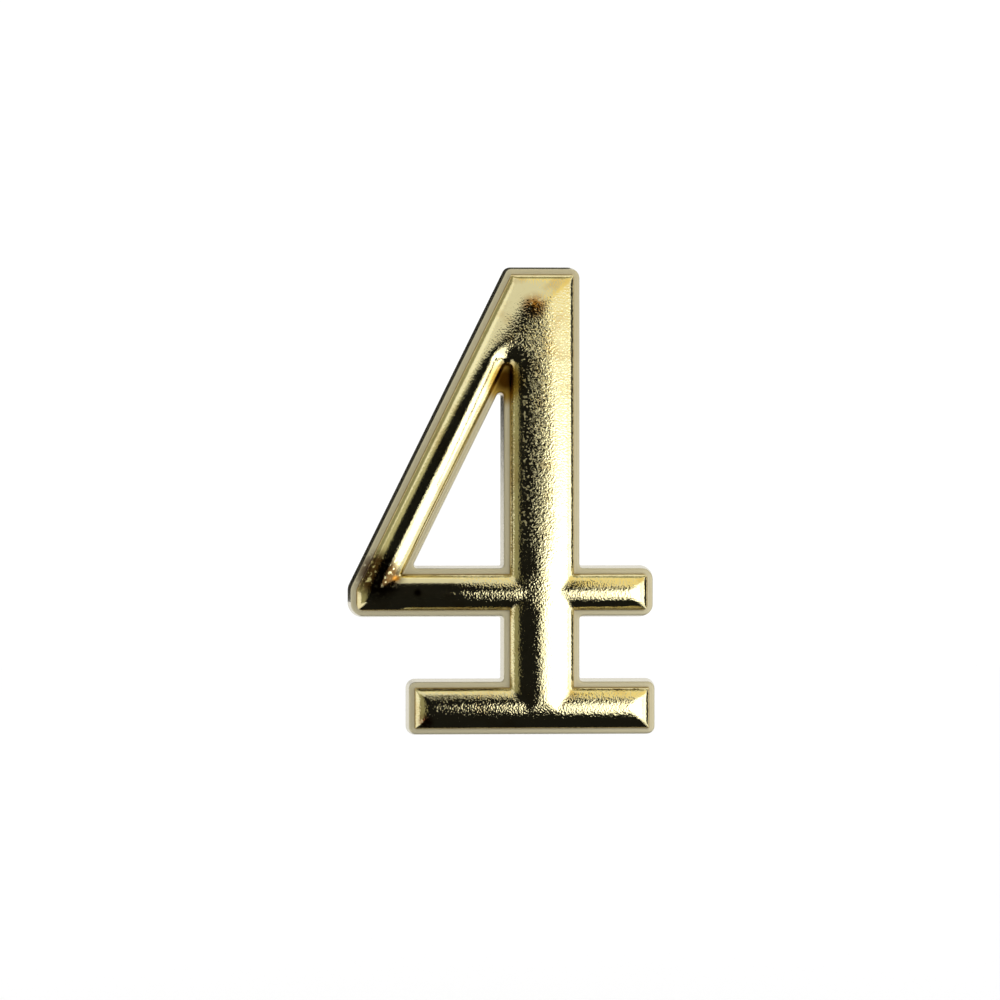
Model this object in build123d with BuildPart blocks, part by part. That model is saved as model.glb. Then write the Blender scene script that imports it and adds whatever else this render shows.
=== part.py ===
"""A stick-on house number: the numeral 4, moulded in one piece with a crowned face.

The numeral stands upright: +X runs to the right as it is read, +Z up, and -Y out of the wall.
The back lies on the plane y = 0, with the origin on the stem's centreline at mid height.
"""

import os
from math import asin, atan, atan2, cos, degrees, radians, sin

from build123d import *

# Overall sizes, in millimetres
height = 50.0
depth = 4.5
flange_depth = 3.0
draft_angle = 4.5

# Strokes. Heights are measured up from the baseline, and x from the stem's centreline.
stem_width = 8.5
bar_stroke = 5.5
diagonal_stroke = 5.3
apex_left = -3.77
tip_left = -20.6
tip_cut = 3.25
bar_bottom = 12.6
bar_right = 12.1
foot_left = -14.4
foot_right = 12.3
foot_height = 6.0

# Edges of the flange
ledge = 0.8
apex_radius = 1.2
apex_left_radius = 0.9
tip_radius = 1.6
bar_end_radius = 1.4
foot_end_radius = 1.0
inside_radius = 0.2
ledge_rounding = 0.2

# Crown: a tight arc at the ledge runs into a wide arc that is level at the stem's centreline, where it
# stands higher than the tight arc's radius by dome_rise. Narrower strokes have a rounded crest instead,
# which takes up crest_share of the wide arc's turn.
crown_height = depth - flange_depth
crown_run = stem_width / 2 - ledge
dome_rise = 0.3
crown_edge_radius = crown_height - dome_rise
crest_share = 0.5
pocket_tip_radius = 0.3

# Longer than any stroke, for solids that are trimmed by their neighbours
reach = 2 * height

# Corners of the outline that follow from the sizes above
half_stem = stem_width / 2
bar_top = bar_bottom + bar_stroke
tip_top = bar_bottom + tip_cut
lean = (apex_left - tip_left) / (height - tip_top)
lean_angle = degrees(atan(lean))
stroke_across = diagonal_stroke / cos(atan(lean))
counter_left = apex_left + stroke_across - lean * (height - bar_top)
counter_top = height - (apex_left + stroke_across + half_stem) / lean

back_plane = Plane(origin=(0, 0, -height / 2), x_dir=(1, 0, 0), z_dir=(0, -1, 0))
ledge_plane = back_plane.offset(flange_depth)

# The crown's wide arc, and the turn of its tight arc, from the condition that the two are tangent
crown_top_radius = ((crown_run - crown_edge_radius) ** 2 + crown_height**2 - crown_edge_radius**2) / (
    2 * (crown_height - crown_edge_radius)
)
crown_edge_turn = degrees(
    atan2(crown_top_radius - crown_height, crown_run - crown_edge_radius)
)


def crown_section(plane, start=0):
    """Section of the crown across one edge: it rises from the ledge at start, then stays level."""
    with BuildSketch(plane) as section:
        with BuildLine():
            edge = JernArc((start, 0), (0, 1), crown_edge_radius, -crown_edge_turn)
            top = JernArc(edge @ 1, edge % 1, crown_top_radius, crown_edge_turn - 90)
            Polyline(top @ 1, (reach, crown_height), (reach, 0), (start, 0))
        make_face()
    return section.sketch


def across(point, inward_angle, distance):
    """The plane of a section across an edge, with its origin at a distance inside that edge."""
    inward = Vector(cos(radians(inward_angle)), 0, sin(radians(inward_angle)))
    origin = ledge_plane.from_local_coords(Vector(*point)) + inward * distance
    return Plane(origin=origin, x_dir=inward, z_dir=inward.cross(ledge_plane.z_dir))


def shoulder(point, inward_angle):
    """Everything on the inner side of one straight edge of the crown, below the crown's surface."""
    section = crown_section(across(point, inward_angle, ledge))
    with BuildPart() as side:
        extrude(section, amount=reach, both=True)
    return side.part


def crest_radius(beyond):
    """Radius of a crest between two wide arcs, each centred this far beyond the stroke's middle."""
    sharp_slope = asin(beyond / crown_top_radius)
    edge_slope = radians(90 - crown_edge_turn)
    crest_slope = sharp_slope + crest_share * (edge_slope - sharp_slope)
    return crown_top_radius - beyond / sin(crest_slope)


def ridge(point, inward_angle, width):
    """Everything between the two edges of a narrow stroke, below their surfaces and a rounded crest."""
    run = width / 2 - ledge
    half = crown_section(Plane.XY, start=-run)
    with BuildSketch(across(point, inward_angle, width / 2)) as section:
        add(half)
        add(half.mirror(Plane.YZ), mode=Mode.INTERSECT)
        if run < crown_run:
            fillet(section.vertices().sort_by(Axis.Y)[-1], radius=crest_radius(crown_run - run))
    with BuildPart() as stroke:
        extrude(section.sketch, amount=reach, both=True)
    return stroke.part


def crowned_stroke(*sides):
    """A stroke of the crown: what lies below the surface of all its sides, mitred where they meet."""
    with BuildPart() as stroke:
        add(sides[0])
        for side in sides[1:]:
            add(side, mode=Mode.INTERSECT)
    return stroke.part


def corners(sketch, *points):
    """The corners of a sketch that stand at the given points."""
    return [sketch.vertices().sort_by_distance(Vector(*point))[0] for point in points]


# The straight edges of the outline, each with the direction that points into the stroke
into_diagonal = -lean_angle
top_edge = shoulder((0, height), -90)
stem_left_edge = shoulder((-half_stem, 0), 0)
stem_right_edge = shoulder((half_stem, 0), 180)
diagonal_outer_edge = shoulder((apex_left, height), into_diagonal)
tip_edge = shoulder((tip_left, 0), 0)
bar_bottom_edge = shoulder((0, bar_bottom), 90)
bar_right_edge = shoulder((bar_right, 0), 180)
foot_bottom_edge = shoulder((0, 0), 90)
foot_left_edge = shoulder((foot_left, 0), 0)
foot_right_edge = shoulder((foot_right, 0), 180)

stem_crown = crowned_stroke(stem_left_edge, stem_right_edge, top_edge, foot_bottom_edge)
diagonal_ridge = ridge((apex_left, height), into_diagonal, diagonal_stroke)
diagonal_crown = crowned_stroke(diagonal_ridge, top_edge, tip_edge, bar_bottom_edge)
bar_ridge = ridge((0, bar_bottom), 90, bar_stroke)
bar_crown = crowned_stroke(bar_ridge, bar_right_edge, tip_edge, diagonal_outer_edge)
foot_ridge = ridge((0, 0), 90, foot_height)
foot_crown = crowned_stroke(foot_ridge, foot_left_edge, foot_right_edge)

# Above the counter the stem and the diagonal share one crown, which turns about the counter's tip
pocket_x = -half_stem + ledge - pocket_tip_radius
pocket_across = stroke_across + (pocket_tip_radius - ledge) / cos(atan(lean))
pocket_z = height - (apex_left + pocket_across - pocket_x) / lean
pocket_tip = ledge_plane.from_local_coords(Vector(pocket_x, pocket_z))
tip_section = crown_section(
    Plane(origin=pocket_tip, x_dir=(1, 0, 0), z_dir=(0, 0, -1)), start=pocket_tip_radius
)
with BuildPart() as apex_turn:
    revolve(
        tip_section,
        axis=Axis(pocket_tip, ledge_plane.z_dir),
        revolution_arc=180 - lean_angle,
    )
apex_crown = crowned_stroke(apex_turn.part, top_edge, stem_right_edge, diagonal_outer_edge)

with BuildSketch(back_plane) as outline:
    with BuildLine():
        Polyline(
            (foot_left, 0),
            (foot_right, 0),
            (foot_right, foot_height),
            (half_stem, foot_height),
            (half_stem, bar_bottom),
            (bar_right, bar_bottom),
            (bar_right, bar_top),
            (half_stem, bar_top),
            (half_stem, height),
            (apex_left, height),
            (tip_left, tip_top),
            (tip_left, bar_bottom),
            (-half_stem, bar_bottom),
            (-half_stem, foot_height),
            (foot_left, foot_height),
            close=True,
        )
    make_face()
    with BuildLine():
        Polyline(
            (-half_stem, bar_top),
            (-half_stem, counter_top),
            (counter_left, bar_top),
            close=True,
        )
    make_face(mode=Mode.SUBTRACT)
    fillet(corners(outline, (half_stem, height)), radius=apex_radius)
    fillet(corners(outline, (apex_left, height)), radius=apex_left_radius)
    fillet(corners(outline, (tip_left, tip_top), (tip_left, bar_bottom)), radius=tip_radius)
    fillet(corners(outline, (bar_right, bar_bottom), (bar_right, bar_top)), radius=bar_end_radius)
    fillet(
        corners(
            outline,
            (foot_left, 0),
            (foot_left, foot_height),
            (foot_right, 0),
            (foot_right, foot_height),
        ),
        radius=foot_end_radius,
    )
    fillet(
        corners(
            outline,
            (-half_stem, counter_top),
            (-half_stem, bar_top),
            (counter_left, bar_top),
            (-half_stem, bar_bottom),
            (-half_stem, foot_height),
            (half_stem, foot_height),
            (half_stem, bar_bottom),
            (half_stem, bar_top),
        ),
        radius=inside_radius,
    )

# The crown's foot keeps the ledge at one width round the outer corners
crown_foot = offset(outline.sketch, amount=-ledge)

with BuildPart() as crown:
    add(stem_crown)
    add(diagonal_crown)
    add(bar_crown)
    add(foot_crown)
    add(apex_crown)
    extrude(crown_foot, amount=depth, mode=Mode.INTERSECT)

with BuildPart() as numeral_four:
    extrude(outline.sketch, amount=flange_depth, taper=draft_angle)
    fillet(numeral_four.faces().sort_by(Axis.Y)[0].edges(), radius=ledge_rounding)
    add(crown.part)

os.makedirs("parts", exist_ok=True)
numeral_four.part.label = "numeral_four"
export_step(numeral_four.part, "parts/numeral_four.step")
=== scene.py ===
"""Looks for the stick-on house number: gold plating with a fine grain, cards to reflect, and the camera."""

from math import cos, pi, radians, sin

import bmesh
import bpy
from mathutils import Matrix, Vector


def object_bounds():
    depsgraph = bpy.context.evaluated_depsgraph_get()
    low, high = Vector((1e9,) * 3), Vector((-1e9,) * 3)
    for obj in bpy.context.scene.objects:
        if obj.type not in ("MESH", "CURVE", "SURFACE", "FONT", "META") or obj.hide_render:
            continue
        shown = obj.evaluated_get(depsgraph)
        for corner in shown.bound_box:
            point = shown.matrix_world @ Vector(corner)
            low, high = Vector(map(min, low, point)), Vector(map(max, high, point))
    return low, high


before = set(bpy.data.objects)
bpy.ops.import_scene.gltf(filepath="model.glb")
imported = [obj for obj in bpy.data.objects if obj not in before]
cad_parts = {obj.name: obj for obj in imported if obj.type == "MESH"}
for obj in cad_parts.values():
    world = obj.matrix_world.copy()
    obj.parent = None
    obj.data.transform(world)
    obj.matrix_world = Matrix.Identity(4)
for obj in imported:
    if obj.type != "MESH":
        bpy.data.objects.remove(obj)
cad_low, cad_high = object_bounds()

MM = 0.001

# Depths on the numeral, whose back lies at y = 0. The stem's flat top stands highest.
FACE_Y = cad_low[1]
CROWN_HEIGHT = 1.5 * MM
LEDGE_Y = FACE_Y + CROWN_HEIGHT

# How far the diagonal leans in x for each step up in z
DIAGONAL_LEAN = 0.493

# The photograph's frame at the numeral, seen from a little to the left and above
FRAME_WIDTH = 106.7 * MM
FRAME_CENTRE = Vector((-4.4 * MM, -2.0 * MM, 0.15 * MM))
CAMERA_DISTANCE = 600 * MM
CAMERA_LEFT = radians(3.5)
CAMERA_UP = radians(1.0)
CAMERA_SENSOR = 36.0

# Colours of the finish, and of the painted shade at the crown's foot and in the pocket
GOLD = (0.86, 0.78, 0.44)
LEDGE_GOLD = (0.55, 0.50, 0.33)
BACK_GOLD = (0.62, 0.56, 0.35)
# Painted shade and reflection: amber at the crown's foot and in the pocket, brown deep in the pocket
SHADE_AMBER = (0.42, 0.27, 0.05)
POCKET_SHADE_BROWN = (0.07, 0.028, 0.002)
TARNISH = (0.66, 0.50, 0.22)
STAIN_BROWN = (0.09, 0.05, 0.016)
STAIN_AMBER = (0.42, 0.19, 0.03)
STAIN_RED = (0.25, 0.07, 0.015)

# Round patches on the numeral, in millimetres: the centre, the radius that is full and where it ends
# The first two patches are painted shade in the counter's tip, amber and brown
POCKET_PAINTED_SHADE = ((-3.9, -3.2, 12.8), 1.5, 3.0)
POCKET_SHADE = ((-3.8, -3.2, 13.0), 0.6, 1.9)
SMOOTH_TIP = ((-15.0, -4.4, -9.6), 4.0, 9.0)
CROSSING = ((-0.8, -4.5, -9.6), 0.8, 2.8)

# Stains, each with its patch and colour. The ragged ones are broken up by clean specks.
RAGGED_STAINS = {
    "tip": (((-17.4, -4.0, -7.8), 1.6, 3.3), STAIN_BROWN),
    "foot": (((-12.4, -3.9, -23.4), 0.3, 1.1), STAIN_RED),
    "apex": (((-0.9, -4.4, 20.8), 0.3, 1.8), STAIN_AMBER),
}
ROUND_STAINS = {
    "tip": (((-15.6, -3.9, -8.2), 0.1, 0.6), STAIN_AMBER),
    "bar": (((-13.3, -4.4, -9.65), 0.15, 0.6), STAIN_BROWN),
}

# Sheen: the roughness of the crown and the ledge, and what the walls, the back and the specks add to it
CROWN_ROUGHNESS = 0.06
LEDGE_ROUGHNESS = 0.55
WALL_DULLING = 0.16
BACK_DULLING = 0.25
SPECK_DULLING = 0.38

# The ledge is less metallic than the rest, except in the pocket, where shade is painted
LEDGE_METALLIC = 0.45

# Relief: how far crests and edges are softened, the pits, and the strength of the grain from place to place
CREST_SOFTNESS = 0.8 * MM
EDGE_SOFTNESS = 0.35 * MM
PIT_DEPTH = 0.03 * MM
PIT_STRENGTH = 0.3
GRAIN_DEPTH = 0.04 * MM
GRAIN_STRENGTH = 0.6
SLIGHT_GRAIN_STRENGTH = 0.22
FLANGE_GRAIN_SHARE = 0.4
STEM_EXTRA_GRAIN = 0.4
CROSSING_EXTRA_GRAIN = 0.8

# The white studio's level of light, and where its front cards stand, in millimetres, in two close rows
STUDIO_BRIGHTNESS = 1.05
FRONT_Y = -100
SECOND_FRONT_Y = -101


class NodeSheet:
    """A material's nodes, with short calls to add, join and combine them."""

    def __init__(self, name):
        self.material = bpy.data.materials.new(name)
        self.material.use_nodes = True
        self.tree = self.material.node_tree
        self.tree.nodes.clear()

    def add(self, kind, **settings):
        node = self.tree.nodes.new(kind)
        for key, value in settings.items():
            setattr(node, key, value)
        return node

    def feed(self, socket, value):
        """Joins another node's output to a socket, or sets the socket to a constant."""
        if isinstance(value, bpy.types.NodeSocket):
            self.tree.links.new(value, socket)
        elif isinstance(value, tuple):
            socket.default_value = (*value, 1.0)
        else:
            socket.default_value = value

    def finish(self, surface):
        """Joins the shader to the material's output, and gives the material."""
        out = self.add("ShaderNodeOutputMaterial")
        self.feed(out.inputs["Surface"], surface)
        return self.material

    def noise(self, place, per_metre, detail):
        node = self.add("ShaderNodeTexNoise")
        self.feed(node.inputs["Vector"], place)
        self.feed(node.inputs["Scale"], per_metre)
        self.feed(node.inputs["Detail"], detail)
        return node.outputs["Fac"]

    def fade(self, value, low, high, start=0.0, end=1.0):
        """Goes smoothly from start to end while value goes from low to high."""
        node = self.add("ShaderNodeMapRange", interpolation_type="SMOOTHSTEP")
        self.feed(node.inputs["Value"], value)
        self.feed(node.inputs["From Min"], low)
        self.feed(node.inputs["From Max"], high)
        self.feed(node.inputs["To Min"], start)
        self.feed(node.inputs["To Max"], end)
        return node.outputs["Result"]

    def by_zone(self, zone, outside, inside):
        """A value that is different inside a zone."""
        return self.fade(zone, 0.0, 1.0, outside, inside)

    def combine(self, operation, first, second):
        node = self.add("ShaderNodeMath", operation=operation)
        self.feed(node.inputs[0], first)
        self.feed(node.inputs[1], second)
        return node.outputs["Value"]

    def tint(self, share, colour, over):
        """Lays a colour over another one, by the given share."""
        node = self.add("ShaderNodeMix", data_type="RGBA")
        self.feed(node.inputs["Factor"], share)
        self.feed(node.inputs[6], over)
        self.feed(node.inputs[7], colour)
        return node.outputs[2]

    def spot(self, place, centre_mm, full_mm, end_mm):
        """1 close to a point of the numeral, fading to 0 at the end distance."""
        gap = self.add("ShaderNodeVectorMath", operation="DISTANCE")
        self.feed(gap.inputs[0], place)
        self.feed(gap.inputs[1], Vector(centre_mm) * MM)
        return self.fade(gap.outputs["Value"], full_mm * MM, end_mm * MM, 1.0, 0.0)

    def bump(self, normal, height, distance, strength):
        """Raises and lowers a surface in the shading."""
        node = self.add("ShaderNodeBump")
        self.feed(node.inputs["Normal"], normal)
        self.feed(node.inputs["Height"], height)
        self.feed(node.inputs["Distance"], distance)
        self.feed(node.inputs["Strength"], strength)
        return node.outputs["Normal"]


class PlatingZones:
    """Places on the numeral. A zone is 1 inside, 0 outside, and fades in between."""

    def __init__(self, sheet):
        self.place = sheet.add("ShaderNodeTexCoord").outputs["Object"]
        split = sheet.add("ShaderNodeSeparateXYZ")
        sheet.feed(split.inputs["Vector"], self.place)
        self.depth = split.outputs["Y"]
        height = split.outputs["Z"]

        # By depth, with all that lies behind: the crown's foot, which gets painted shade and reflection, the
        # flange, its walls, the back
        self.crown_foot_shade = sheet.fade(self.depth, LEDGE_Y - 0.75 * MM, LEDGE_Y - 0.25 * MM)
        self.flange = sheet.fade(self.depth, LEDGE_Y - 0.12 * MM, LEDGE_Y - 0.03 * MM)
        self.wall = sheet.fade(self.depth, LEDGE_Y + 0.03 * MM, LEDGE_Y + 0.15 * MM)
        self.back = sheet.fade(self.depth, -0.06 * MM, -0.01 * MM)

        # The ledge in front of the walls, and the pocket in the counter's tip, which gets painted shade
        self.ledge = sheet.combine("SUBTRACT", self.flange, self.wall)
        self.pocket = sheet.spot(self.place, *POCKET_PAINTED_SHADE)

        # By height: above the bar, and less of it near the apex
        above_bar = sheet.fade(height, -9.0 * MM, -2.0 * MM)
        below_apex = sheet.fade(height, 15.0 * MM, 21.0 * MM, 1.0, 0.3)
        self.upper_stem = sheet.combine("MULTIPLY", above_bar, below_apex)

        # By x, measured along the diagonal's lean: the diagonal and all to its left
        lean = sheet.combine("MULTIPLY", height, DIAGONAL_LEAN)
        leaning_x = sheet.combine("SUBTRACT", split.outputs["X"], lean)
        self.diagonal = sheet.fade(leaning_x, -11.5 * MM, -9.0 * MM, 1.0, 0.0)


def plating_colour(sheet, zones):
    """Gold with some tarnish, painted amber shade and reflection at the crown's foot, painted amber and brown
    shade in the pocket, and a few stains.
    """
    tarnished = sheet.fade(sheet.noise(zones.place, per_metre=420, detail=3.0), 0.50, 0.72, end=0.55)
    ragged = sheet.fade(sheet.noise(zones.place, per_metre=2600, detail=2.0), 0.30, 0.47)
    colour = sheet.tint(tarnished, TARNISH, over=GOLD)
    # Painted shade and reflection in amber at the crown's foot, painted shade in amber and brown in the
    # pocket
    colour = sheet.tint(zones.crown_foot_shade, SHADE_AMBER, over=colour)
    colour = sheet.tint(zones.flange, LEDGE_GOLD, over=colour)
    colour = sheet.tint(zones.pocket, SHADE_AMBER, over=colour)
    colour = sheet.tint(sheet.spot(zones.place, *POCKET_SHADE), POCKET_SHADE_BROWN, over=colour)
    for patch, stain in RAGGED_STAINS.values():
        share = sheet.combine("MULTIPLY", sheet.spot(zones.place, *patch), ragged)
        colour = sheet.tint(share, stain, over=colour)
    for patch, stain in ROUND_STAINS.values():
        colour = sheet.tint(sheet.spot(zones.place, *patch), stain, over=colour)
    return sheet.tint(zones.back, BACK_GOLD, over=colour)


def plating_roughness(sheet, zones):
    """Bright on the crown and satin on the ledge, with dull specks on the stem above the bar."""
    roughness = sheet.by_zone(zones.ledge, CROWN_ROUGHNESS, LEDGE_ROUGHNESS)
    for zone, dulling in ((zones.wall, WALL_DULLING), (zones.back, BACK_DULLING)):
        roughness = sheet.combine("ADD", roughness, sheet.combine("MULTIPLY", zone, dulling))
    near_top = sheet.fade(zones.depth, FACE_Y + 0.14 * MM, FACE_Y + 0.4 * MM, 1.0, 0.0)
    stem_top = sheet.combine("MULTIPLY", near_top, sheet.by_zone(zones.diagonal, 1.0, 0.0))
    speckled = sheet.combine("MULTIPLY", zones.upper_stem, stem_top)
    specks = sheet.fade(sheet.noise(zones.place, per_metre=3600, detail=1.0), 0.54, 0.68, end=SPECK_DULLING)
    return sheet.combine("ADD", roughness, sheet.combine("MULTIPLY", specks, speckled))


def plating_relief(sheet, zones):
    """Soft crests and mitres, pits on the stem's flat top, and an orange-peel grain all over."""
    soft_edges = sheet.add("ShaderNodeBevel", samples=16)
    softness = sheet.fade(zones.depth, FACE_Y + 0.4 * MM, FACE_Y + 0.9 * MM, CREST_SOFTNESS, EDGE_SOFTNESS)
    sheet.feed(soft_edges.inputs["Radius"], softness)

    flat_top = sheet.fade(zones.depth, FACE_Y + 0.04 * MM, FACE_Y + 0.16 * MM, 1.0, 0.0)
    coarse = sheet.combine("MULTIPLY", flat_top, zones.upper_stem)
    pits = sheet.fade(sheet.noise(zones.place, per_metre=4200, detail=1.0), 0.48, 0.62)
    pit_strength = sheet.combine("MULTIPLY", coarse, PIT_STRENGTH)
    pitted = sheet.bump(soft_edges.outputs["Normal"], pits, PIT_DEPTH, pit_strength)

    # The grain is slight near the left tip, on the diagonal and on the flange
    smooth = sheet.combine("MAXIMUM", sheet.spot(zones.place, *SMOOTH_TIP), zones.diagonal)
    strength = sheet.by_zone(smooth, GRAIN_STRENGTH, SLIGHT_GRAIN_STRENGTH)
    strength = sheet.combine("MULTIPLY", strength, sheet.by_zone(zones.flange, 1.0, FLANGE_GRAIN_SHARE))
    crossing = sheet.spot(zones.place, *CROSSING)
    for zone, extra in ((coarse, STEM_EXTRA_GRAIN), (crossing, CROSSING_EXTRA_GRAIN)):
        strength = sheet.combine("ADD", strength, sheet.combine("MULTIPLY", zone, extra))
    grain = sheet.noise(zones.place, per_metre=5000, detail=1.0)
    return sheet.bump(pitted, grain, GRAIN_DEPTH, strength)


def gold_plating():
    """Bright plating on moulded plastic, less metallic on the ledge outside the pocket's painted shade."""
    sheet = NodeSheet("gold_plating_on_plastic")
    zones = PlatingZones(sheet)
    ledge_outside_pocket = sheet.combine("SUBTRACT", zones.ledge, zones.pocket)
    shader = sheet.add("ShaderNodeBsdfPrincipled")
    sheet.feed(shader.inputs["Base Color"], plating_colour(sheet, zones))
    sheet.feed(shader.inputs["Metallic"], sheet.by_zone(ledge_outside_pocket, 1.0, LEDGE_METALLIC))
    sheet.feed(shader.inputs["Roughness"], plating_roughness(sheet, zones))
    sheet.feed(shader.inputs["Normal"], plating_relief(sheet, zones))
    return sheet.finish(shader.outputs["BSDF"])


def matt(name, colour):
    """A plain matt paper or card."""
    sheet = NodeSheet(name)
    shader = sheet.add("ShaderNodeBsdfPrincipled")
    sheet.feed(shader.inputs["Base Color"], colour)
    sheet.feed(shader.inputs["Roughness"], 0.9)
    sheet.feed(shader.inputs["Specular IOR Level"], 0.0)
    return sheet.finish(shader.outputs["BSDF"])


def lit(name, brightness):
    """White paper that is lit from behind."""
    sheet = NodeSheet(name)
    shader = sheet.add("ShaderNodeEmission")
    sheet.feed(shader.inputs["Strength"], brightness)
    return sheet.finish(shader.outputs["Emission"])


def sheet_of_card(name, corners_mm, material):
    """A flat sheet with the given corners."""
    shape = bmesh.new()
    shape.faces.new([shape.verts.new(Vector(corner) * MM) for corner in corners_mm])
    mesh = bpy.data.meshes.new(name)
    shape.to_mesh(mesh)
    shape.free()
    mesh.materials.append(material)
    card = bpy.data.objects.new(name, mesh)
    bpy.context.scene.collection.objects.link(card)
    return card


def studio_card(name, corners_mm, material):
    """A card that shows only as a reflection in the plating."""
    card = sheet_of_card(name, corners_mm, material)
    card.visible_camera = False
    card.visible_diffuse = False
    card.visible_shadow = False


def upright_card(name, y_mm, outline_mm, material):
    """A studio card that stands parallel to the numeral's back, from its outline in x and z."""
    studio_card(name, [(x, y_mm, z) for x, z in outline_mm], material)


def softbox(name, place_mm, aim, width_mm, height_mm, brightness):
    """A lamp that shows only as a highlight, so that the ledge and the floor stay at a plain level."""
    lamp = bpy.data.lights.new(name, "AREA")
    lamp.shape = "RECTANGLE"
    lamp.size = width_mm * MM
    lamp.size_y = height_mm * MM
    lamp.energy = brightness * pi * lamp.size * lamp.size_y
    box = bpy.data.objects.new(name, lamp)
    box.visible_diffuse = False
    bpy.context.scene.collection.objects.link(box)
    turn = Vector(aim).to_track_quat("-Z", "Y").to_matrix().to_4x4()
    box.matrix_world = Matrix.Translation(Vector(place_mm) * MM) @ turn


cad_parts["numeral_four"].material_slots[0].material = gold_plating()

white_paper = matt("white_paper", (0.96, 0.96, 0.96))
black_card = matt("black_card", (0.01, 0.01, 0.01))
olive_card = matt("olive_card", (0.30, 0.29, 0.19))
tan_card = matt("tan_card", (0.50, 0.48, 0.33))
pale_card = matt("pale_card", (0.76, 0.75, 0.72))
warm_card = matt("warm_card", (0.95, 0.80, 0.42))
lit_card = lit("lit_card", 1.7)

# The white floor, with a dark card just above it for the lower slopes of the bar and the foot
sheet_of_card("floor", [(-900, -900, -60), (900, -900, -60), (900, 900, -60), (-900, 900, -60)], white_paper)
studio_card("floor_card", [(-36, -100, -59), (40, -100, -59), (40, 60, -59), (-36, 60, -59)], black_card)

# In front, the dark card makes the black lines on the crests, and the lit one beside it the white bands
upright_card(
    "front_card",
    FRONT_Y,
    [
        (-64, 35),
        (-52, 38),
        (-41, 35),
        (-18, 30),
        (-3, 33),
        (11, 33),
        (12, 22),
        (24, 19),
        (24, 12),
        (12, 8),
        (12, -4),
        (3, -10),
        (2, -14),
        (2, -20),
        (6, -23),
        (10, -59),
        (-62, -59),
        (-62, -3),
        (-56, -1),
        (-56, 8),
        (-71, 20),
    ],
    black_card,
)
upright_card(
    "lit_card",
    FRONT_Y,
    [
        (12.5, 4),
        (22, 4),
        (22, -57),
        (10.5, -57),
        (6.5, -23),
        (2.5, -20),
        (2.5, -14),
        (3.5, -10.5),
        (12.5, -4.2),
    ],
    lit_card,
)

# Behind those two, coloured cards for the slopes that face left and up
upright_card("left_card", SECOND_FRONT_Y, [(-30, -59), (-30, 14), (-300, 40), (-300, -59)], olive_card)
upright_card("upper_left_card", SECOND_FRONT_Y, [(-30, 14), (-30, 34), (-300, 120), (-300, 40)], tan_card)
upright_card("upper_card", SECOND_FRONT_Y, [(-30, 18), (12, 18), (12, 260), (-300, 260)], pale_card)
upright_card("warm_card", SECOND_FRONT_Y, [(12, 27), (300, 27), (300, 400), (12, 400)], warm_card)

# Close to the numeral, small dark cards that widen the black on the stem and the bar
upright_card("stem_card", -24, [(3.0, -6), (6.1, -6), (6.3, 15), (3.2, 15)], black_card)
upright_card("bar_card", -44, [(-15, 4.5), (-3.5, 4.5), (-3.5, 17), (-15, 17)], black_card)

# At the sides, above and behind, cards for the steep edges and the walls
studio_card("side_card", [(-300, -101, -3), (-300, 200, -3), (-300, 200, 200), (-300, -101, 200)], olive_card)
studio_card("right_card", [(200, -13, -60), (200, 128, -60), (200, 128, 60), (200, -13, 60)], black_card)
studio_card("ceiling_card", [(-300, -45, 200), (300, -45, 200), (300, -15, 200), (-300, -15, 200)], tan_card)
studio_card(
    "ceiling_back_card", [(-300, -15, 200), (300, -15, 200), (300, 40, 200), (-300, 40, 200)], olive_card
)
upright_card(
    "back_card",
    30,
    [(6, 14), (6, 46), (-18, 46), (-44, -4), (-44, -12), (-21.8, -12), (-18.8, -9), (-7.4, 14)],
    black_card,
)

softbox("front_softbox", (67, -100, -26.5), (0, 1, 0), 90, 61, 2.2)
softbox("side_softbox", (150, -52, -25), (-1, 0, 0), 95, 70, 1.1)

studio = bpy.data.worlds.new("white_studio")
studio.use_nodes = True
backdrop = studio.node_tree.nodes["Background"]
backdrop.inputs["Color"].default_value = (1.0, 1.0, 1.0, 1.0)
backdrop.inputs["Strength"].default_value = STUDIO_BRIGHTNESS
bpy.context.scene.world = studio

camera_data = bpy.data.cameras.new("camera")
camera_data.sensor_width = CAMERA_SENSOR
camera_data.lens = CAMERA_SENSOR * CAMERA_DISTANCE / FRAME_WIDTH
camera = bpy.data.objects.new("camera", camera_data)
bpy.context.scene.collection.objects.link(camera)
to_camera = Vector((-sin(CAMERA_LEFT) * cos(CAMERA_UP), -cos(CAMERA_LEFT) * cos(CAMERA_UP), sin(CAMERA_UP)))
facing = to_camera.to_track_quat("Z", "Y").to_matrix().to_4x4()
camera.matrix_world = Matrix.Translation(FRAME_CENTRE + to_camera * CAMERA_DISTANCE) @ facing
bpy.context.scene.camera = camera
bpy.context.scene.view_settings.view_transform = "Standard"
